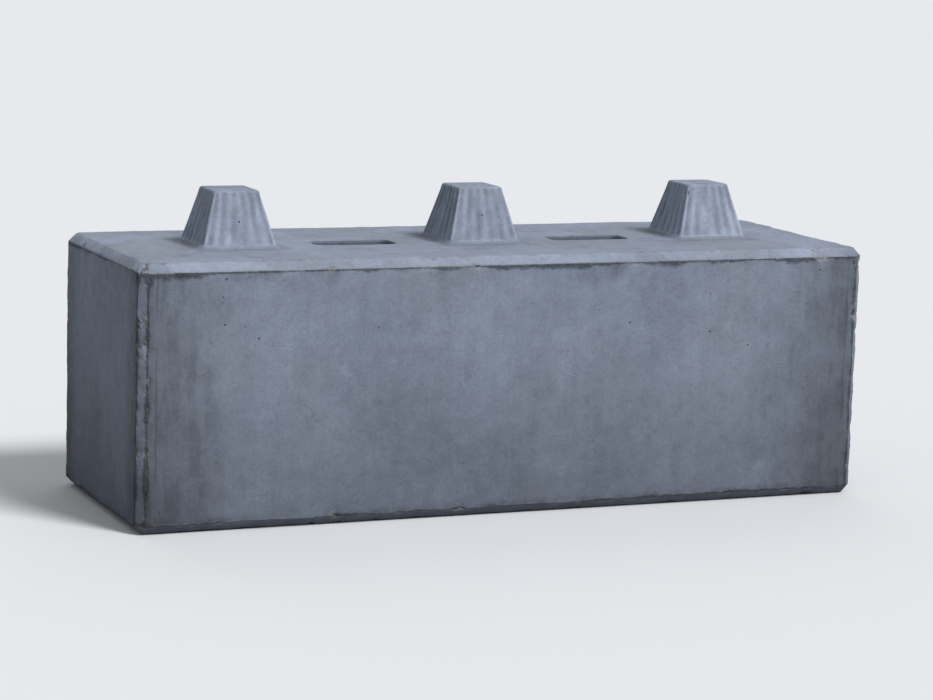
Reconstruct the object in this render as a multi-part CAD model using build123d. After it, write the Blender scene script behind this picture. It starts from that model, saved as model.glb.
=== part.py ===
from build123d import *
import math
import os

# One interlocking block of cast concrete, in millimetres.
# Its length runs along X and its width along Y. It stands on its bed face, and the origin
# is the middle of that face.

# Body: three times as long as it is wide or high, every arris broken by the mould.
block_length = 1800
block_width = 600
block_height = 600
arris_chamfer = 20

# Studs: blunt square pyramids in one row along the middle of the top.
stud_count = 3
stud_pitch = 600
stud_foot_width = 180
stud_crown_width = 110
stud_height = 130
stud_corner_round = 10
stud_crown_round = 8
stud_foot_round = 18

# Pockets: hollows in the bed face, which drop over the studs of the course below.
pocket_side_clearance = 10
pocket_crown_clearance = 10
pocket_corner_chamfer = 10
pocket_roof_chamfer = 6
pocket_mouth_chamfer = 12

# Lifting recesses: one long hollow in the top, midway between each two studs.
recess_length = 200
recess_width = 95
recess_depth = 90
recess_draft_angle = 6
recess_corner_round = 24
recess_rim_round = 5

# Lifting hoops: a hairpin of round steel bar cast into each recess, across its width.
hoop_bar_diameter = 16
hoop_inside_width = 40
hoop_crown_cover = 20
hoop_anchorage = 300

# The studs taper by the same angle on all four sides, and so do the pockets.
stud_slope = (stud_foot_width - stud_crown_width) / 2 / stud_height
recess_slope = math.tan(math.radians(recess_draft_angle))

stud_places = [(n - (stud_count - 1) / 2) * stud_pitch for n in range(stud_count)]
recess_places = [(a + b) / 2 for a, b in zip(stud_places, stud_places[1:])]


def pyramid(foot_length, foot_width, rise, slope):
    """A blunt pyramid standing on Z = 0, with the same slope on all four sides."""
    taper = math.degrees(math.atan(slope))
    return extrude(Rectangle(foot_length, foot_width), amount=rise, taper=taper)


def corners(shape):
    """The four sloping edges of a blunt pyramid."""
    return shape.edges().group_by(Axis.Z)[1]


def crown(shape):
    """The edges round the upper end of a blunt pyramid."""
    return shape.faces().sort_by(Axis.Z)[-1].edges()


def make_body():
    """The plain mould shape, with its arrises broken all round."""
    body = Box(
        block_length,
        block_width,
        block_height,
        align=(Align.CENTER, Align.CENTER, Align.MIN),
    )
    return chamfer(body.edges(), arris_chamfer)


def outlines(body, level, places, outline_length):
    """The edges where the studs or hollows at these places meet the flat face at this level."""
    near = arris_chamfer / 100
    reach = outline_length / 2 + near
    found = ShapeList()
    for place in places:
        on_face = body.edges().filter_by_position(Axis.Z, level - near, level + near)
        alongside = on_face.filter_by_position(Axis.X, place - reach, place + reach)
        found += alongside.filter_by_position(Axis.Y, -reach, reach)
    return found


def add_studs(body):
    """Studs grow out of the top, and flare into it at the foot."""
    stud = pyramid(stud_foot_width, stud_foot_width, stud_height, stud_slope)
    stud = fillet(corners(stud), stud_corner_round)
    stud = fillet(crown(stud), stud_crown_round)
    for place in stud_places:
        body = body + Pos(place, 0, block_height) * stud
    feet = outlines(body, block_height, stud_places, stud_foot_width)
    return fillet(feet, stud_foot_round)


def cut_pockets(body):
    """Pockets clear the studs by the same gap on every side, with a chamfer to guide them on."""
    mouth_width = stud_foot_width + 2 * pocket_side_clearance
    depth = stud_height + pocket_crown_clearance
    pocket = pyramid(mouth_width, mouth_width, depth, stud_slope)
    pocket = chamfer(corners(pocket), pocket_corner_chamfer)
    pocket = chamfer(crown(pocket), pocket_roof_chamfer)
    for place in stud_places:
        body = body - Pos(place, 0, 0) * pocket
    mouths = outlines(body, 0, stud_places, mouth_width)
    return chamfer(mouths, pocket_mouth_chamfer)


def cut_recesses(body):
    """Each recess narrows towards its floor, so that its former lifts out of the concrete."""
    former = pyramid(recess_length, recess_width, recess_depth, recess_slope)
    former = fillet(corners(former), recess_corner_round)
    former = former.mirror(Plane.XY)
    for place in recess_places:
        body = body - Pos(place, 0, block_height) * former
    rims = outlines(body, block_height, recess_places, recess_length)
    return fillet(rims, recess_rim_round)


def make_hoop(place):
    """A hairpin of round bar, whose two straight legs run down into the concrete."""
    leg = (hoop_inside_width + hoop_bar_diameter) / 2
    arch_centre = block_height - hoop_crown_cover - hoop_bar_diameter / 2 - leg
    root = block_height - recess_depth - hoop_anchorage

    across = Plane(origin=(place, 0, 0), x_dir=(0, 1, 0), z_dir=(1, 0, 0))
    near_leg = Line((leg, root), (leg, arch_centre))
    arch = CenterArc((0, arch_centre), leg, 0, 180)
    far_leg = Line((-leg, arch_centre), (-leg, root))
    route = Wire(across * edge for edge in (near_leg, arch, far_leg))
    foot = Plane(origin=route @ 0, z_dir=route % 0)
    return sweep(foot * Circle(hoop_bar_diameter / 2), path=route)


def main():
    block = cut_recesses(cut_pockets(add_studs(make_body())))
    hoops = [make_hoop(place) for place in recess_places]
    for hoop in hoops:
        block = block - hoop

    os.makedirs("parts", exist_ok=True)
    export_step(block, "parts/concrete_block.step")
    for number, hoop in enumerate(hoops, start=1):
        export_step(hoop, f"parts/lifting_hoop_{number}.step")


main()
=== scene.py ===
import math
import bmesh
import bpy
from mathutils import Euler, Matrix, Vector


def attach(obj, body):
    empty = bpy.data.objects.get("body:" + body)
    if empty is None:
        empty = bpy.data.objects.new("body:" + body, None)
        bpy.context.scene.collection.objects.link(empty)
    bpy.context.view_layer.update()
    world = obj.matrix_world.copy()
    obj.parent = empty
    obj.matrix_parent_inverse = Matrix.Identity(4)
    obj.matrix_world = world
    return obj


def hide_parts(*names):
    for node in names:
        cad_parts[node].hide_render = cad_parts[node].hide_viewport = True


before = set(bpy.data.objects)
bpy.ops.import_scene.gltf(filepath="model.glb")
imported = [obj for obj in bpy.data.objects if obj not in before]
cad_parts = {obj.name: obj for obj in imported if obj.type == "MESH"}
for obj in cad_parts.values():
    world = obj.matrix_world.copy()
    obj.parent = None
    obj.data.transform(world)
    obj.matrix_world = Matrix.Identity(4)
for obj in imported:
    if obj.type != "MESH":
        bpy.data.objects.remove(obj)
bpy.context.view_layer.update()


# The casting: one block of plain concrete, poured into a steel mould that leaves every arris
# chamfered and forms the studs, pockets and lifting recesses. Stripping the mould and
# handling the block have worn its arrises and knocked small pieces off them.

block_length, block_width, block_height = 1.8, 0.6, 0.6
arris_chamfer = 0.02
stud_pitch = 0.6
stud_places = (-stud_pitch, 0.0, stud_pitch)
stud_foot, stud_crown, stud_height = 0.18, 0.11, 0.13
recess_places = (-stud_pitch / 2, stud_pitch / 2)
recess_half_length, recess_half_width, recess_depth = 0.1, 0.0475, 0.09
recess_floor = block_height - recess_depth

# A hoop's two legs stand this far to each side of the middle.
hoop_leg = 0.028

# A corner that is nearer to a cut than this lies on it.
touching = 1e-7


def spaced(low, high, step):
    """Even places from low to high, about one step apart."""
    count = max(1, round((high - low) / step))
    return [low + (high - low) * n / count for n in range(count + 1)]


def between(places, low, high, step):
    """Places that divide the gaps between neighbours, from low to high, into short steps."""
    widest_left = 1.2 * step
    places = sorted(places)
    found = []
    for a, b in zip(places, places[1:]):
        if b - a > widest_left and low < (a + b) / 2 < high:
            found += spaced(a, b, step)[1:-1]
    return found


def faces_inside(faces, low, high):
    """The faces whose middle lies in a box."""
    found = []
    for face in faces:
        middle = face.calc_center_median()
        if all(a < v < b for a, v, b in zip(low, middle, high)):
            found.append(face)
    return found


def cut_across(net, faces, axis, places):
    """Divides faces at planes square to one axis, and returns all that come of them."""
    square_to = Vector([float(axis == k) for k in range(3)])

    def extent(face):
        along = [corner.co[axis] for corner in face.verts]
        return min(along), max(along), face

    ahead = sorted(map(extent, faces), key=lambda row: row[0], reverse=True)
    under_way, done = [], []
    for place in sorted(places):
        while ahead and ahead[-1][0] < place - touching:
            under_way.append(ahead.pop())
        crossed = [face for low, high, face in under_way if high > place + touching]
        done += [face for low, high, face in under_way if high <= place + touching]
        under_way = []
        if crossed:
            parts = dict.fromkeys(crossed)
            for face in crossed:
                parts.update(dict.fromkeys([*face.edges, *face.verts]))
            cut = bmesh.ops.bisect_plane(
                net, geom=list(parts), dist=1e-6, plane_co=square_to * place, plane_no=square_to
            )
            under_way = [extent(face) for face in cut["geom"] if isinstance(face, bmesh.types.BMFace)]
    return done + [face for low, high, face in under_way + ahead]


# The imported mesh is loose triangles. They are joined, and those of one flat face made one.
net = bmesh.new()
net.from_mesh(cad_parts["concrete_block"].data)
bmesh.ops.remove_doubles(net, verts=net.verts, dist=2e-5)
bmesh.ops.dissolve_limit(net, angle_limit=math.radians(0.2), verts=net.verts, edges=net.edges)

# The bores in which the hoop legs are cast stay as they are, because nobody sees them.
bore_reach = 0.009
below_recess = recess_floor - 0.001
bores = set()
for place in recess_places:
    low = (place - bore_reach, -hoop_leg - bore_reach, 0)
    high = (place + bore_reach, hoop_leg + bore_reach, below_recess)
    bores.update(faces_inside(net.faces, low, high))
casting_faces = [face for face in net.faces if face not in bores]

# The first cuts divide every face. They are even on its flat part, and lie close together
# beside its arrises, so that these can wear round.
face_step, flat_inset = 0.0125, 0.016
arris_cuts = (-0.0175, -0.01, -0.0025, 0.0025, 0.006)
sides = (
    (-block_length / 2, block_length / 2),
    (-block_width / 2, block_width / 2),
    (0, block_height),
)
face_places = []
for low, high in sides:
    low, high = low + arris_chamfer, high - arris_chamfer
    near_arrises = [low + cut for cut in arris_cuts] + [high - cut for cut in arris_cuts]
    face_places.append(near_arrises + spaced(low + flat_inset, high - flat_inset, face_step))
for axis, places in enumerate(face_places):
    casting_faces = cut_across(net, casting_faces, axis, places)

# The next ones divide the arrises again, along their length.
arris_step, arris_reach = 0.006, 0.03
for axis, (low, high) in enumerate(sides):
    others = [(n, *sides[n]) for n in range(3) if n != axis]
    beside, apart = [], []
    for face in casting_faces:
        middle = face.calc_center_median()
        inward = [min(middle[n] - a, b - middle[n]) for n, a, b in others]
        if max(inward) < arris_reach:
            beside.append(face)
        else:
            apart.append(face)
    beside = cut_across(net, beside, axis, between(face_places[axis], low, high, arris_step))
    casting_faces = beside + [face for face in apart if face.is_valid]


def divided_again(faces, low, high, step, rows, row_step):
    """The faces, of which those in a box are divided again, in steps across and rows upwards."""
    edge = 0.001
    inside = faces_inside(faces, (*low[:2], low[2] - edge), (*high[:2], high[2] + edge))
    chosen = set(inside)
    outside = [face for face in faces if face not in chosen]
    for axis in (0, 1):
        places = between(face_places[axis], low[axis], high[axis], step)
        inside = cut_across(net, inside, axis, places)
    inside = cut_across(net, inside, 2, rows + between(rows, low[2], high[2], row_step))
    return inside + [face for face in outside if face.is_valid]


# Studs are divided finest across, to carry their ribs, and the recesses less finely.
stud_step, stud_row_step = 0.004, 0.012
stud_reach = stud_foot / 2 + 0.02
stud_top = block_height + stud_height
stud_rows = [block_height + 0.005, stud_top - 0.004]
for place in stud_places:
    low = (place - stud_reach, -stud_reach, block_height)
    high = (place + stud_reach, stud_reach, stud_top)
    casting_faces = divided_again(casting_faces, low, high, stud_step, stud_rows, stud_row_step)

recess_step, recess_rim = 0.008, 0.006
reach_x, reach_y = recess_half_length + recess_rim, recess_half_width + recess_rim
for place in recess_places:
    low = (place - reach_x, -reach_y, recess_floor)
    high = (place + reach_x, reach_y, block_height)
    casting_faces = divided_again(casting_faces, low, high, recess_step, face_places[2], recess_step)

bmesh.ops.dissolve_degenerate(net, dist=0.0001, edges=net.edges)
casting_mesh = bpy.data.meshes.new("cast_block_net")
net.to_mesh(casting_mesh)
net.free()


def put(tree, kind, feeds=(), **settings):
    """Adds a node, sets it up, and feeds its inputs with sockets or plain values."""
    node = tree.nodes.new(kind)
    for name, value in settings.items():
        setattr(node, name, value)
    for name, value in dict(feeds).items():
        if isinstance(value, bpy.types.NodeSocket):
            tree.links.new(value, node.inputs[name])
        else:
            node.inputs[name].default_value = value
    return node


def work(tree, operation, *values):
    """The result of one sum on up to three values."""
    return put(tree, "ShaderNodeMath", enumerate(values), operation=operation).outputs[0]


def total(tree, *values):
    """All the values added up."""
    result = values[0]
    for value in values[1:]:
        result = work(tree, "ADD", result, value)
    return result


def product(tree, *values):
    """All the values multiplied together."""
    result = values[0]
    for value in values[1:]:
        result = work(tree, "MULTIPLY", result, value)
    return result


def unsigned(tree, value):
    """The value without its sign."""
    return work(tree, "ABSOLUTE", value)


def rise(tree, value, low, high, start=0.0, end=1.0):
    """Goes softly from start to end as the value goes from low to high."""
    feeds = enumerate((value, low, high, start, end))
    return put(tree, "ShaderNodeMapRange", feeds, interpolation_type="SMOOTHSTEP").outputs[0]


def fade(tree, value, low, high):
    """Goes softly from 1 to 0 as the value goes from low to high."""
    return rise(tree, value, low, high, 1.0, 0.0)


def along_axes(tree, vector):
    """The vector's parts along X, Y and Z."""
    return put(tree, "ShaderNodeSeparateXYZ", {0: vector}).outputs


def stretched(tree, vector, x=1.0, z=1.0, shift=0.0):
    """The vector scaled along X and Z, and shifted to another part of a pattern."""
    scaled = put(tree, "ShaderNodeVectorMath", {0: vector, 1: (x, 1.0, z)}, operation="MULTIPLY")
    moved = {0: scaled.outputs[0], 1: (shift, shift * 0.7, shift * 1.3)}
    return put(tree, "ShaderNodeVectorMath", moved, operation="ADD").outputs[0]


def cloud(tree, vector, scale, detail=2.0, rough=0.5):
    """Cloudy noise about 0.5, with scale waves to the metre."""
    feeds = {"Vector": vector, "Scale": scale, "Detail": detail, "Roughness": rough}
    return put(tree, "ShaderNodeTexNoise", feeds).outputs[0]


def inputs_of(tree, *sockets):
    """Declares a tree's named inputs, and returns them for use inside it."""
    for name, kind, value in sockets:
        socket = tree.interface.new_socket(name, in_out="INPUT", socket_type=kind)
        if value is not None:
            socket.default_value = value
    return tree.nodes.new("NodeGroupInput").outputs


# This tree gives the net the relief of a used casting, from these sizes.
relief = bpy.data.node_groups.new("casting_relief", "GeometryNodeTree")
given = inputs_of(
    relief,
    ("Net", "NodeSocketGeometry", None),
    ("Wave Height", "NodeSocketFloat", 0.0009),
    ("Wave Length", "NodeSocketFloat", 0.22),
    ("Wear Depth", "NodeSocketFloat", 0.0022),
    ("Wear Width", "NodeSocketFloat", 0.009),
    ("Chip Depth", "NodeSocketFloat", 0.008),
    ("Chip Size", "NodeSocketFloat", 0.05),
    ("Rib Depth", "NodeSocketFloat", 0.0026),
    ("Ribs on a Face", "NodeSocketFloat", 6.0),
    ("Concrete", "NodeSocketMaterial", None),
)
relief.interface.new_socket("Casting", in_out="OUTPUT", socket_type="NodeSocketGeometry")

place = put(relief, "GeometryNodeInputPosition").outputs[0]
normal = put(relief, "GeometryNodeInputNormal").outputs[0]
place_xyz = along_axes(relief, place)
normal_xyz = along_axes(relief, normal)

# Arrises are the edges that turn sharply. How far each point is from one sets its wear.
arris_turn = 0.45
edge_turn = put(relief, "GeometryNodeInputMeshEdgeAngle").outputs["Unsigned Angle"]
is_arris = put(
    relief,
    "FunctionNodeCompare",
    {0: edge_turn, 1: arris_turn},
    data_type="FLOAT",
    operation="GREATER_THAN",
).outputs[0]
arris_lines = put(
    relief,
    "GeometryNodeSeparateGeometry",
    {"Geometry": given["Net"], "Selection": is_arris},
    domain="EDGE",
).outputs["Selection"]
nearest = put(relief, "GeometryNodeProximity", {0: arris_lines}, target_element="EDGES")
arris_distance = nearest.outputs["Distance"]

# The mould's plates leave faint waves, all of them inwards.
wave_scale = work(relief, "DIVIDE", 1.0, given["Wave Length"])
wave = rise(relief, cloud(relief, place, wave_scale, 1.0), 0.25, 0.75, -1.0, 0.0)
wave = product(relief, wave, given["Wave Height"])

# Every arris is rubbed a little, and in a few stretches it is battered.
near_arris = fade(relief, work(relief, "DIVIDE", arris_distance, given["Wear Width"]), 0.0, 1.0)
rub_and_sheen = cloud(relief, stretched(relief, place, shift=3.0), 22.0, 3.0)
rub_and_sheen = rise(relief, rub_and_sheen, 0.3, 0.7, 0.25, 1.0)
battered = cloud(relief, stretched(relief, place, shift=4.0), 3.5, 2.0)
battered = rise(relief, battered, 0.52, 0.68, 0.8, 2.0)
wear = product(relief, near_arris, rub_and_sheen, battered)

# More is knocked off at the upright corners than elsewhere.
corner_gap = work(
    relief,
    "MAXIMUM",
    work(relief, "SUBTRACT", block_length / 2, unsigned(relief, place_xyz["X"])),
    work(relief, "SUBTRACT", block_width / 2, unsigned(relief, place_xyz["Y"])),
)
exposed = rise(relief, corner_gap, 0.02, 0.05, 0.022, 0.0)


def chips(size, threshold, shift):
    """Where pieces of about that size have been knocked off the arrises, from 0 to 1."""
    inward_loss, flank = 0.34, 0.05
    per_metre = work(relief, "DIVIDE", 1.0, size)
    field = cloud(relief, stretched(relief, place, shift=shift), per_metre, 3.0, 0.6)
    inward = product(relief, work(relief, "DIVIDE", arris_distance, size), inward_loss)
    field = work(relief, "SUBTRACT", work(relief, "ADD", field, exposed), inward)
    return rise(relief, field, threshold, threshold + flank)


# Small chips are about a third as wide and as deep as large ones.
small_size, small_share = 0.36, 0.35
large_chips = chips(given["Chip Size"], 0.605, 7.0)
small_chips = chips(product(relief, given["Chip Size"], small_size), 0.575, 9.0)
chip = work(relief, "MAXIMUM", large_chips, product(relief, small_chips, small_share))
chip_floor = cloud(relief, stretched(relief, place, shift=11.0), 90.0, 1.0)
chip_floor = rise(relief, chip_floor, 0.3, 0.7, 0.5, 1.0)

# The studs keep faint ribs from their formers, which run up each face and close in with it.
stud_slope = (stud_foot - stud_crown) / 2 / stud_height
stud_x = work(relief, "WRAP", place_xyz["X"], stud_pitch / 2, -stud_pitch / 2)
faces_end = work(
    relief,
    "GREATER_THAN",
    unsigned(relief, normal_xyz["X"]),
    unsigned(relief, normal_xyz["Y"]),
)
over_face = put(relief, "ShaderNodeMix", {0: faces_end, 2: stud_x, 3: place_xyz["Y"]}).outputs[0]
up_stud = work(relief, "SUBTRACT", place_xyz["Z"], block_height)
half_face = work(relief, "MULTIPLY_ADD", up_stud, -stud_slope, stud_foot / 2)
across_face = work(relief, "DIVIDE", over_face, half_face)
rib_turn = product(relief, across_face, given["Ribs on a Face"], math.pi)
rib_drift = cloud(relief, stretched(relief, place, z=0.2, shift=5.0), 12.0, 2.0)
rib_drift = product(relief, rib_drift, 3.0)
rib_wave = work(relief, "SINE", work(relief, "ADD", rib_turn, rib_drift))
rib_share = cloud(relief, stretched(relief, place, z=0.4, shift=6.0), 16.0, 2.0)
rib_share = rise(relief, rib_share, 0.36, 0.62, 0.2, 1.0)
rib = product(
    relief,
    work(relief, "MULTIPLY_ADD", rib_wave, 0.5, -0.5),
    rib_share,
    rise(relief, up_stud, 0.004, 0.02),
    fade(relief, up_stud, stud_height - 0.014, stud_height - 0.004),
    given["Rib Depth"],
)

push = total(
    relief,
    wave,
    rib,
    product(relief, wear, given["Wear Depth"], -1.0),
    product(relief, chip, chip_floor, given["Chip Depth"], -1.0),
)
offset = put(relief, "ShaderNodeVectorMath", {0: normal, "Scale": push}, operation="SCALE").outputs[0]

# A face that looks along two axes at once is a chamfer, or a rounded corner of a stud.
slanting = total(relief, *[unsigned(relief, normal_xyz[axis]) for axis in "XYZ"])

# The material reads these. They are stored before the points move.
result = given["Net"]
for name, value in (
    ("arris_distance", arris_distance),
    ("arris_wear", wear),
    ("chipped", chip),
    ("facing_up", normal_xyz["Z"]),
    ("rib_wave", product(relief, rib_wave, rib_share)),
    ("slanting", slanting),
):
    result = put(
        relief,
        "GeometryNodeStoreNamedAttribute",
        {"Geometry": result, "Name": name, "Value": value},
        data_type="FLOAT",
        domain="POINT",
    ).outputs[0]
result = put(relief, "GeometryNodeSetPosition", {"Geometry": result, "Offset": offset}).outputs[0]

# Nothing goes below the ground that the block stands on. Here the place is the moved one.
grounded = put(
    relief,
    "ShaderNodeCombineXYZ",
    {0: place_xyz["X"], 1: place_xyz["Y"], 2: work(relief, "MAXIMUM", place_xyz["Z"], 0.0)},
).outputs[0]
result = put(relief, "GeometryNodeSetPosition", {"Geometry": result, "Position": grounded}).outputs[0]
result = put(relief, "GeometryNodeRealizeInstances", {"Geometry": result}).outputs[0]
result = put(
    relief, "GeometryNodeSetMaterial", {"Geometry": result, "Material": given["Concrete"]}
).outputs[0]
put(relief, "NodeGroupOutput", {"Casting": result})


def start_group(name, results, *sockets):
    """A new group of material nodes with named inputs and outputs, and its inputs."""
    group = bpy.data.node_groups.new(name, "ShaderNodeTree")
    given = inputs_of(group, *sockets)
    for result in results:
        group.interface.new_socket(result, in_out="OUTPUT", socket_type="NodeSocketFloat")
    return group, given


# Blotches are the soft patches that mould oil, damp and rust leave.
blotches, given = start_group(
    "blotches",
    ("Mask",),
    ("Vector", "NodeSocketVector", None),
    ("Patches per metre", "NodeSocketFloat", 4.0),
    ("From", "NodeSocketFloat", 0.35),
    ("To", "NodeSocketFloat", 0.65),
)
patch = cloud(blotches, given["Vector"], given["Patches per metre"], 4.0, 0.55)
put(blotches, "NodeGroupOutput", {"Mask": rise(blotches, patch, given["From"], given["To"])})

# Grit is the grain of a rough surface, as a tint about 0 and a height in millimetres.
grit, given = start_group(
    "grit",
    ("Tint", "Height"),
    ("Vector", "NodeSocketVector", None),
    ("Grains per metre", "NodeSocketFloat", 300.0),
    ("Depth", "NodeSocketFloat", 0.3),
)
grain = cloud(grit, given["Vector"], given["Grains per metre"], 3.0, 0.6)
grain_tint = work(grit, "MULTIPLY_ADD", grain, 2.0, -1.0)
grain_height = product(grit, grain_tint, given["Depth"])
put(grit, "NodeGroupOutput", {"Tint": grain_tint, "Height": grain_height})

# Air holes are the round pits that bubbles leave against a mould, as a mask and a height in
# millimetres. They differ in size, and each is about 0.7 as deep as its radius.
air_holes, given = start_group(
    "air_holes",
    ("Mask", "Height"),
    ("Vector", "NodeSocketVector", None),
    ("Pitch", "NodeSocketFloat", 0.03),
    ("Radius", "NodeSocketFloat", 0.002),
    ("Share", "NodeSocketFloat", 0.3),
)
cell_scale = work(air_holes, "DIVIDE", 1.0, given["Pitch"])
cells = put(air_holes, "ShaderNodeTexVoronoi", {"Vector": given["Vector"], "Scale": cell_scale}).outputs
from_middle = product(air_holes, cells["Distance"], given["Pitch"])
draw = put(air_holes, "ShaderNodeSeparateColor", {0: cells["Color"]}).outputs
hole_size = work(air_holes, "MULTIPLY_ADD", work(air_holes, "POWER", draw[0], 2.5), 1.2, 0.3)
hole_radius = product(air_holes, given["Radius"], hole_size)
is_hole = work(air_holes, "LESS_THAN", draw[1], given["Share"])
hole = fade(air_holes, work(air_holes, "DIVIDE", from_middle, hole_radius), 0.55, 1.1)
hole = product(air_holes, hole, is_hole)
depth_share, millimetres = 0.7, 1000.0
hole_height = product(air_holes, hole, given["Radius"], -depth_share * millimetres)
put(air_holes, "NodeGroupOutput", {"Mask": hole, "Height": hole_height})


def use(tree, group, feeds):
    """Places a group of material nodes in a material, and returns its results."""
    return put(tree, "ShaderNodeGroup", feeds, node_tree=group).outputs


def tinted(tree, share, under, over):
    """Under, going over to the second colour by that share."""
    feeds = {0: share, 6: under, 7: over}
    return put(tree, "ShaderNodeMix", feeds, data_type="RGBA").outputs[2]


def shaded(tree, colour, factor):
    """The colour made darker or lighter by a factor."""
    feeds = {0: colour, "Scale": factor}
    return put(tree, "ShaderNodeVectorMath", feeds, operation="SCALE").outputs[0]


def attribute(tree, name):
    """A value stored on the piece's own points."""
    return put(tree, "ShaderNodeAttribute", attribute_name=name).outputs["Fac"]


def new_material(name):
    """An empty material and its node tree, with the Principled shader in place."""
    material = bpy.data.materials.new(name)
    material.use_nodes = True
    return material, material.node_tree, material.node_tree.nodes["Principled BSDF"]


concrete, tree, skin = new_material("cast_concrete")
place = put(tree, "ShaderNodeTexCoord").outputs["Object"]
xyz = along_axes(tree, place)
facing_up = attribute(tree, "facing_up")
from_arris = attribute(tree, "arris_distance")
corner_x = work(tree, "SUBTRACT", block_length / 2, unsigned(tree, xyz["X"]))
corner_y = work(tree, "SUBTRACT", block_width / 2, unsigned(tree, xyz["Y"]))


def patches(per_metre, low, high, shift=0.0, z=1.0):
    """Where soft patches of about that many to the metre lie, from 0 to 1."""
    feeds = {
        "Vector": stretched(tree, place, z=z, shift=shift),
        "Patches per metre": per_metre,
        "From": low,
        "To": high,
    }
    return use(tree, blotches, feeds)["Mask"]


def without(mask, share=1.0):
    """What a mask leaves, where it takes away that share."""
    return work(tree, "MULTIPLY_ADD", mask, -share, 1.0)


def about_zero(value):
    """A value between 0 and 1, made to swing about 0."""
    return work(tree, "SUBTRACT", value, 0.5)


def darker(tone, mask, share):
    """The tone, taken down by that share where the mask is full."""
    return product(tree, tone, without(mask, share))


def lighter(tone, mask, share):
    """The tone, brought up by that share where the mask is full."""
    return darker(tone, mask, -share)


upright = fade(tree, unsigned(tree, facing_up), 0.45, 0.75)
top_side = rise(tree, facing_up, 0.5, 0.8)
on_stud = rise(tree, xyz["Z"], block_height + 0.002, block_height + 0.016)
off_stud = without(on_stud)
# The chamfers and the studs' rounded corners, which get a painted highlight further on.
rub_and_sheen = rise(tree, attribute(tree, "slanting"), 1.25, 1.38)
ragged = about_zero(cloud(tree, place, 9.0, 4.0, 0.6))

# Towards its upright corners a face is darker, up to a ragged line, with upright smudges: partly dirt,
# and partly painted shade. On the ends these margins are narrower. Chamfers have hardly any of it.
margin_start, margin_end, margin_waver, end_narrowing = 0.02, 0.31, 0.2, 2.4
across_end = work(tree, "MULTIPLY", corner_y, end_narrowing)
from_corner = work(tree, "MAXIMUM", corner_x, across_end)
from_corner = work(tree, "MULTIPLY_ADD", ragged, margin_waver, from_corner)
margin_dirt_and_shade = fade(tree, from_corner, margin_start, margin_end)
margin_dirt_and_shade = product(tree, margin_dirt_and_shade, upright, without(rub_and_sheen, 0.85))
smudges = product(tree, margin_dirt_and_shade, patches(34.0, 0.46, 0.62, shift=47.0, z=0.25))

# Rain dries on the top in patches with a darker rim.
stain = product(tree, patches(4.2, 0.50, 0.56, shift=41.0), top_side)
stain_rim = product(tree, stain, without(stain), 4.0)

# The grey is cool, its blue partly a painted tint of shade light, and goes over to a warmer one in patches,
# margins and stains.
grey_with_painted_shade_blue, warm_grey = (0.187, 0.218, 0.283, 1), (0.210, 0.213, 0.222, 1)
warm_share = total(
    tree,
    product(tree, patches(3.2, 0.40, 0.66), 0.14),
    product(tree, margin_dirt_and_shade, 0.16),
    product(tree, stain, 0.18),
)
colour = tinted(tree, warm_share, grey_with_painted_shade_blue, warm_grey)

# Its tone swings in patches of four sizes, and with the sand.
tones = [1.0]
for per_metre, strength, shift in (
    (2.1, 0.13, 1.0),
    (8.0, 0.12, 2.0),
    (30.0, 0.13, 4.0),
    (110.0, 0.12, 5.0),
):
    swing = about_zero(patches(per_metre, 0.3, 0.7, shift))
    tones.append(product(tree, swing, strength))
sand = use(tree, grit, {"Vector": place, "Grains per metre": 380.0, "Depth": 0.3})
tones.append(product(tree, sand["Tint"], 0.26))

# Runs are the faint upright streaks that water leaves. Studs also show mottling, and painted light and
# shade that follows their ribs.
runs = about_zero(cloud(tree, stretched(tree, place, z=0.04, shift=6.0), 40.0, 4.0, 0.6))
runs_share = work(tree, "MULTIPLY_ADD", on_stud, 0.35, 0.22)
mottling = about_zero(patches(24.0, 0.32, 0.68, shift=43.0, z=0.6))
tones.append(product(tree, runs, runs_share, upright))
tones.append(product(tree, attribute(tree, "rib_wave"), on_stud, upright, 0.24))
tones.append(product(tree, mottling, on_stud, 0.22))
tone = total(tree, *tones)

# Margins, partly painted shade, smudges and stains darken it, and a little painted shade tones down the lit
# top.
tone = darker(darker(tone, margin_dirt_and_shade, 0.35), smudges, 0.20)
tone = darker(darker(tone, stain, 0.08), stain_rim, 0.07)
tone = darker(tone, top_side, 0.03)

# The block is darker towards its foot, partly as painted shade of the light that falls from above.
foot_tone, upper_tone, even_above = 0.70, 1.06, 0.5
tone = product(tree, tone, rise(tree, xyz["Z"], 0.0, even_above, foot_tone, upper_tone))

# Round the studs' feet the top is darker: painted shade where each stud meets the top.
stud_x = work(tree, "WRAP", xyz["X"], stud_pitch / 2, -stud_pitch / 2)
across_stud = work(tree, "MAXIMUM", unsigned(tree, stud_x), unsigned(tree, xyz["Y"]))
from_stud = work(tree, "MULTIPLY_ADD", ragged, 0.05, across_stud)
stud_foot_shade = product(
    tree,
    fade(tree, from_stud, stud_foot / 2 + 0.006, stud_foot / 2 + 0.034),
    top_side,
    fade(tree, xyz["Z"], block_height + 0.02, block_height + 0.04),
)
tone = darker(tone, stud_foot_shade, 0.24)

# Chamfers get a painted highlight, save those beneath,
# and the studs' upright faces are made lighter.
tone = lighter(tone, product(tree, rub_and_sheen, rise(tree, facing_up, -0.5, -0.2)), 0.15)
tone = lighter(tone, product(tree, on_stud, upright), 0.16)

# Damp has dried to faint tide lines, and here and there to a dark or a pale spot.
tide = product(tree, patches(2.6, 0.485, 0.515, shift=17.0), upright)
tone = darker(tone, tide, 0.06)
tone = darker(tone, patches(13.0, 0.635, 0.71, shift=19.0), 0.14)
tone = lighter(tone, patches(15.0, 0.645, 0.73, shift=21.0), 0.12)

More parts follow.
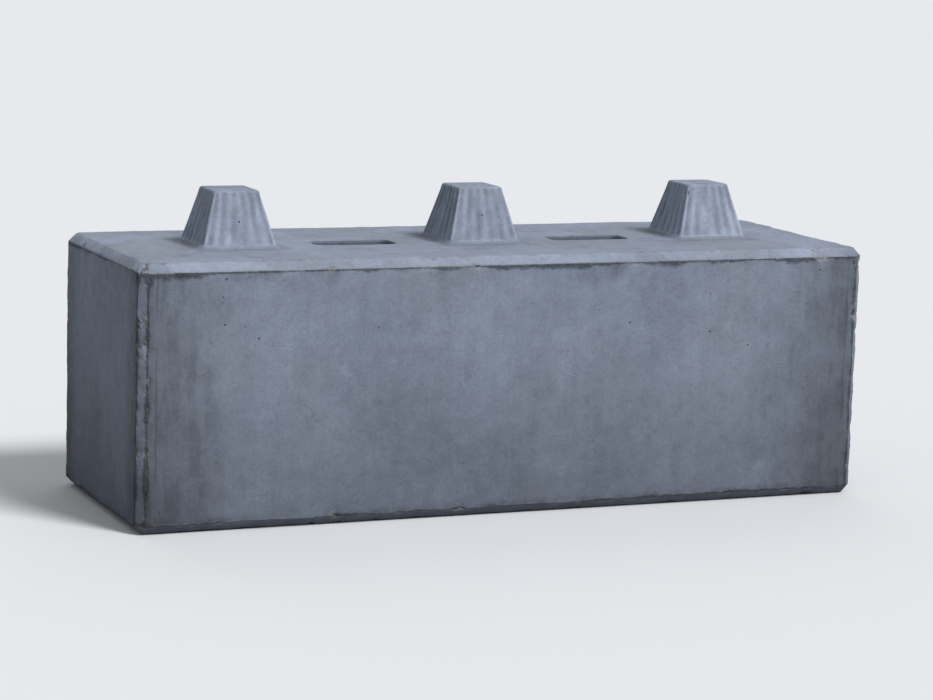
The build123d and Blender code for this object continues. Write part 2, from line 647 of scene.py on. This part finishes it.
# Dirt lies in ragged patches along the foot, and a line of painted shade darkens its chamfer.
foot_patches = patches(7.0, 0.45, 0.75, shift=8.0, z=0.6)
foot_patches = work(tree, "MULTIPLY_ADD", xyz["Z"], -16.0, foot_patches)
tone = darker(tone, product(tree, rise(tree, foot_patches, 0.0, 0.6), upright), 0.30)
tone = darker(tone, product(tree, fade(tree, xyz["Z"], 0.0, 0.022), upright), 0.25)

# Grout that leaked past the mould's chamfer strips set dark and rough beside the arrises. It
# is plainest down the corners and under the top chamfer, and it has a dirty edge.
least_leak, leak_widening, dirt_reach = 0.0034, 0.0085, 0.022
at_corner = fade(tree, work(tree, "MAXIMUM", corner_x, corner_y), 0.03, 0.05)
under_top = product(
    tree,
    rise(tree, xyz["Z"], block_height - 0.06, block_height - 0.03),
    off_stud,
    upright,
    rise(tree, corner_x, 0.005, 0.03),
)
leak_here = patches(6.0, 0.36, 0.50)
for place_mask, leaks in (
    (at_corner, patches(5.0, 0.28, 0.44, shift=3.0)),
    (under_top, patches(5.0, 0.24, 0.40, shift=33.0)),
):
    leak_here = work(tree, "MAXIMUM", leak_here, product(tree, place_mask, leaks))
not_above = product(tree, fade(tree, facing_up, 0.2, 0.45), rise(tree, facing_up, -0.5, -0.3))
leak_here = product(tree, leak_here, not_above)
leak_edge = cloud(tree, stretched(tree, place, shift=23.0), 70.0, 3.0, 0.7)
leak_edge = work(tree, "MULTIPLY_ADD", leak_edge, 1.6, 0.2)
leak_width = patches(9.0, 0.42, 0.68, shift=25.0)
leak_width = work(tree, "MULTIPLY_ADD", leak_width, leak_widening, least_leak)
leak_width = product(tree, leak_width, leak_edge, work(tree, "MULTIPLY_ADD", under_top, 0.8, 1.0))
leak = fade(tree, work(tree, "DIVIDE", from_arris, leak_width), 0.35, 1.0)
leak = product(tree, leak, leak_here)
leak_dirt = product(
    tree,
    fade(tree, from_arris, 0.0, dirt_reach),
    leak_here,
    patches(24.0, 0.4, 0.65, shift=26.0),
)
tone = darker(darker(tone, leak, 0.62), leak_dirt, 0.30)

# Below the top chamfer it has bled down the face a little.
below_top = rise(tree, xyz["Z"], block_height - 0.075, block_height - 0.02)
bled = product(tree, patches(7.0, 0.52, 0.66, z=0.5), below_top, upright, off_stud)
tone = darker(tone, bled, 0.34)

# The mould's end panels leave a faint upright seam on the long sides, in from each corner.
seam_inset, seam_waver = 0.036, 0.012
seam_place = cloud(tree, stretched(tree, place, shift=35.0), 16.0, 3.0)
seam_place = work(tree, "MULTIPLY_ADD", seam_place, seam_waver, seam_inset)
seam = product(
    tree,
    fade(tree, unsigned(tree, work(tree, "SUBTRACT", corner_x, seam_place)), 0.001, 0.005),
    fade(tree, corner_y, 0.002, 0.006),
    patches(7.0, 0.38, 0.55, shift=36.0),
)
tone = darker(tone, seam, 0.24)

# The recesses are darker: painted shade inside them.
from_leg_x = work(tree, "SUBTRACT", unsigned(tree, xyz["X"]), recess_places[1])
recess_shade = product(
    tree,
    fade(tree, unsigned(tree, from_leg_x), recess_half_length, recess_half_length + 0.005),
    fade(tree, unsigned(tree, xyz["Y"]), recess_half_width, recess_half_width + 0.005),
    fade(tree, xyz["Z"], block_height - 0.011, block_height - 0.001),
    rise(tree, xyz["Z"], recess_floor - 0.02, recess_floor - 0.01),
)
tone = darker(tone, recess_shade, 0.5)

# Air holes are few on the faces and denser towards their upper edge. Pin holes are all over.
hole_share = product(
    tree,
    rise(tree, xyz["Z"], 0.2, 0.58, 0.3, 0.7),
    patches(5.0, 0.3, 0.65, shift=27.0),
    without(top_side, 0.6),
)
holes = use(tree, air_holes, {"Vector": place, "Pitch": 0.026, "Radius": 0.0027, "Share": hole_share})
pin_place = stretched(tree, place, shift=9.0)
pin_holes = use(tree, air_holes, {"Vector": pin_place, "Pitch": 0.010, "Radius": 0.0011, "Share": 0.4})
# The holes are darkened with painted shade in their pits.
tone = darker(darker(tone, holes["Mask"], 0.6), pin_holes["Mask"], 0.45)
colour = shaded(tree, colour, tone)

# A worn or broken arris shows paler concrete, with stones in it.
pale_inside, dark_inside, stones_per_metre = (0.34, 0.34, 0.345, 1), (0.20, 0.195, 0.19, 1), 95.0
broken = attribute(tree, "arris_wear")
broken = work(tree, "MULTIPLY_ADD", broken, 0.25, attribute(tree, "chipped"))
broken = work(tree, "MINIMUM", broken, 1.0)
stones = put(tree, "ShaderNodeTexVoronoi", {"Vector": place, "Scale": stones_per_metre}).outputs
stone_tint = put(tree, "ShaderNodeSeparateColor", {0: stones["Color"]}).outputs[0]
inside = tinted(tree, stone_tint, pale_inside, dark_inside)
colour = tinted(tree, product(tree, broken, 0.6), colour, inside)

# Rust has run from the hoops on to the recess floors.
rust_stain, rust_start, rust_end = (0.135, 0.072, 0.044, 1), 0.008, 0.035
from_leg = put(
    tree,
    "ShaderNodeCombineXYZ",
    {
        0: from_leg_x,
        1: work(tree, "SUBTRACT", unsigned(tree, xyz["Y"]), hoop_leg),
        2: work(tree, "SUBTRACT", xyz["Z"], recess_floor),
    },
).outputs[0]
from_leg = put(tree, "ShaderNodeVectorMath", {0: from_leg}, operation="LENGTH").outputs["Value"]
from_leg = work(tree, "MULTIPLY_ADD", ragged, 0.04, from_leg)
rust_run = rise(tree, from_leg, rust_start, rust_end, 0.75, 0.0)
colour = tinted(tree, rust_run, colour, rust_stain)

tree.links.new(colour, skin.inputs["Base Color"])
tree.links.new(work(tree, "MULTIPLY_ADD", sand["Tint"], 0.08, 0.9), skin.inputs["Roughness"])
skin.inputs["Specular IOR Level"].default_value = 0.25

# Heights are in millimetres: sand, holes, runs, marks of the float on the top, flakes where
# the mould pulled off the outer paste, seams, the rough inside of chips, and grout.
float_marks = cloud(tree, stretched(tree, place, x=0.35, shift=13.0), 55.0, 3.0, 0.6)
flaked = patches(14.0, 0.60, 0.625, shift=29.0)
rough_break = cloud(tree, stretched(tree, place, shift=15.0), 140.0, 3.0, 0.65)
rough_grout = patches(120.0, 0.3, 0.7, shift=31.0)
height = total(
    tree,
    sand["Height"],
    holes["Height"],
    pin_holes["Height"],
    product(tree, runs, upright, 1.3),
    product(tree, float_marks, top_side, 1.6),
    product(tree, flaked, -0.45),
    product(tree, seam, 0.8),
    product(tree, rough_break, broken, 3.5),
    product(tree, leak, rough_grout, 1.5),
)
bump = put(tree, "ShaderNodeBump", {"Height": height, "Distance": 0.001, "Strength": 0.9})
tree.links.new(bump.outputs[0], skin.inputs["Normal"])


def shaped_by(name, mesh, group, **inputs):
    """A new piece with the plain mesh that a tree makes of this one with these inputs."""
    blank = bpy.data.objects.new(name + "_blank", mesh)
    bpy.context.scene.collection.objects.link(blank)
    modifier = blank.modifiers.new(group.name, "NODES")
    modifier.node_group = group
    for socket in group.interface.items_tree:
        word = socket.name.lower().replace(" ", "_")
        if word in inputs:
            modifier[socket.identifier] = inputs[word]
    bpy.context.view_layer.update()
    shaped = blank.evaluated_get(bpy.context.evaluated_depsgraph_get())
    plain = bpy.data.meshes.new_from_object(shaped)
    blank.modifiers.remove(modifier)
    bpy.data.objects.remove(blank)
    plain.name = name
    piece = bpy.data.objects.new(name, plain)
    bpy.context.scene.collection.objects.link(piece)
    return piece


cast_block = shaped_by("cast_block", casting_mesh, relief, concrete=concrete)
cast_block.data.shade_smooth()
cast_block.data.set_sharp_from_angle(angle=math.radians(35))
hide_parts("concrete_block")
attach(cast_block, "root")


# The lifting hoops: two hairpins of plain round steel bar, bent cold. Each stands across a
# recess in the top with its legs cast deep into the concrete, so that a sling can be hooked
# on below the top face.

hoop_bar, hoop_cover, hoop_anchorage = 0.016, 0.02, 0.3
hoop_top = block_height - hoop_cover - hoop_bar / 2
hoop_root = recess_floor - hoop_anchorage

bent_bar = bpy.data.node_groups.new("bent_bar", "GeometryNodeTree")
given = inputs_of(
    bent_bar,
    ("Route", "NodeSocketGeometry", None),
    ("Bar Diameter", "NodeSocketFloat", 0.016),
    ("Bend Radius", "NodeSocketFloat", 0.028),
    ("Steps in a Bend", "NodeSocketInt", 14),
    ("Sides of the Bar", "NodeSocketInt", 28),
    ("Steel", "NodeSocketMaterial", None),
)
bent_bar.interface.new_socket("Bar", in_out="OUTPUT", socket_type="NodeSocketGeometry")
route = put(bent_bar, "GeometryNodeMeshToCurve", {"Mesh": given["Route"]}).outputs[0]
route = put(
    bent_bar,
    "GeometryNodeFilletCurve",
    {"Curve": route, "Count": given["Steps in a Bend"], "Radius": given["Bend Radius"]},
    mode="POLY",
).outputs[0]

# The two bends of a hoop meet at its crown, and there their end points are made one.
route = put(bent_bar, "GeometryNodeCurveToMesh", {"Curve": route}).outputs[0]
route = put(bent_bar, "GeometryNodeMergeByDistance", {"Geometry": route, "Distance": 1e-5}).outputs[0]
route = put(bent_bar, "GeometryNodeMeshToCurve", {"Mesh": route}).outputs[0]
bar_radius = work(bent_bar, "MULTIPLY", given["Bar Diameter"], 0.5)
section = put(
    bent_bar,
    "GeometryNodeCurvePrimitiveCircle",
    {"Resolution": given["Sides of the Bar"], "Radius": bar_radius},
).outputs[0]
bar = put(
    bent_bar, "GeometryNodeCurveToMesh", {"Curve": route, "Profile Curve": section, "Fill Caps": True}
).outputs[0]
bar = put(bent_bar, "GeometryNodeRealizeInstances", {"Geometry": bar}).outputs[0]
bar = put(bent_bar, "GeometryNodeSetMaterial", {"Geometry": bar, "Material": given["Steel"]}).outputs[0]
put(bent_bar, "NodeGroupOutput", {"Bar": bar})

# Mill scale, with rust in patches. Where it has rusted, the bar is duller and less metallic.
mill_scale, rust = (0.060, 0.056, 0.055, 1), (0.150, 0.074, 0.040, 1)
hoop_steel, tree, skin = new_material("hoop_steel")
place = put(tree, "ShaderNodeTexCoord").outputs["Object"]
rusted = use(tree, blotches, {"Vector": place, "Patches per metre": 38.0, "From": 0.36, "To": 0.58})["Mask"]
grain = use(tree, grit, {"Vector": place, "Grains per metre": 900.0, "Depth": 0.08})
colour = tinted(tree, rusted, mill_scale, rust)
colour = shaded(tree, colour, work(tree, "MULTIPLY_ADD", grain["Tint"], 0.35, 1.0))
tree.links.new(colour, skin.inputs["Base Color"])
tree.links.new(work(tree, "MULTIPLY_ADD", rusted, -0.75, 0.8), skin.inputs["Metallic"])
tree.links.new(work(tree, "MULTIPLY_ADD", rusted, 0.35, 0.5), skin.inputs["Roughness"])
bump = put(tree, "ShaderNodeBump", {"Height": grain["Height"], "Distance": 0.001})
tree.links.new(bump.outputs[0], skin.inputs["Normal"])

for number, place in enumerate(recess_places, start=1):
    corners = [
        (place, side * hoop_leg, level)
        for side, level in ((1, hoop_root), (1, hoop_top), (-1, hoop_top), (-1, hoop_root))
    ]
    route = bpy.data.meshes.new("hoop_route")
    route.from_pydata(corners, [(0, 1), (1, 2), (2, 3)], [])
    hoop = shaped_by(
        f"hoop_{number}", route, bent_bar, bar_diameter=hoop_bar, bend_radius=hoop_leg, steel=hoop_steel
    )
    hoop.data.shade_smooth()
    hoop.data.set_sharp_from_angle(angle=math.radians(50))
    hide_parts(f"lifting_hoop_{number}")
    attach(hoop, "root")


# The floor, the lights and the camera. The floor is pale where the camera sees it and darker
# where it throws light back, so that the block isn't lit from below.

floor_seen, floor_lighting = (0.62, 0.63, 0.65, 1), (0.30, 0.30, 0.30, 1)
floor_corners = [(-60, -30, 0), (60, -30, 0), (60, 90, 0), (-60, 90, 0)]
floor_mesh = bpy.data.meshes.new("floor")
floor_mesh.from_pydata(floor_corners, [], [(0, 1, 2, 3)])
floor = bpy.data.objects.new("floor", floor_mesh)
bpy.context.scene.collection.objects.link(floor)
pale, tree, skin = new_material("pale_floor")
rays = put(tree, "ShaderNodeLightPath").outputs
seen = work(tree, "MAXIMUM", rays["Is Camera Ray"], rays["Is Glossy Ray"])
tree.links.new(tinted(tree, seen, floor_lighting, floor_seen), skin.inputs["Base Color"])
skin.inputs["Roughness"].default_value = 1.0
skin.inputs["Specular IOR Level"].default_value = 0.0
floor_mesh.materials.append(pale)

world = bpy.data.worlds.new("soft_sky")
bpy.context.scene.world = world
world.use_nodes = True
sky = world.node_tree.nodes["Background"].inputs
sky["Color"].default_value = (0.97, 0.985, 1.0, 1)
sky["Strength"].default_value = 0.38


def soft_sun(name, azimuth, height, strength, width):
    """A broad light from far off. Azimuth 0 shines from the front, and 90 from the right."""
    lamp = bpy.data.lights.new(name, "SUN")
    lamp.energy = strength
    lamp.angle = math.radians(width)
    sun = bpy.data.objects.new(name, lamp)
    sun.rotation_euler = Euler((math.radians(90 - height), 0, math.radians(azimuth)))
    bpy.context.scene.collection.objects.link(sun)


soft_sun("key", azimuth=30, height=48, strength=3.3, width=18)
soft_sun("fill", azimuth=-50, height=25, strength=0.12, width=60)
soft_sun("back", azimuth=165, height=35, strength=0.7, width=60)

camera_place = Vector((-2.703, -6.235, 1.426))
camera_aim = Vector((0.0, 0.0, 0.335))
camera_width, camera_roll = math.radians(18.3), math.radians(1.8)
view = bpy.data.cameras.new("photo_view")
view.angle = camera_width
camera = bpy.data.objects.new("photo_view", view)
turn = (camera_aim - camera_place).to_track_quat("-Z", "Y").to_matrix()
roll = Euler((0, 0, camera_roll)).to_matrix()
camera.matrix_world = (turn @ roll).to_4x4()
camera.location = camera_place
bpy.context.scene.collection.objects.link(camera)
bpy.context.scene.camera = camera
bpy.context.scene.view_settings.view_transform = "Standard"
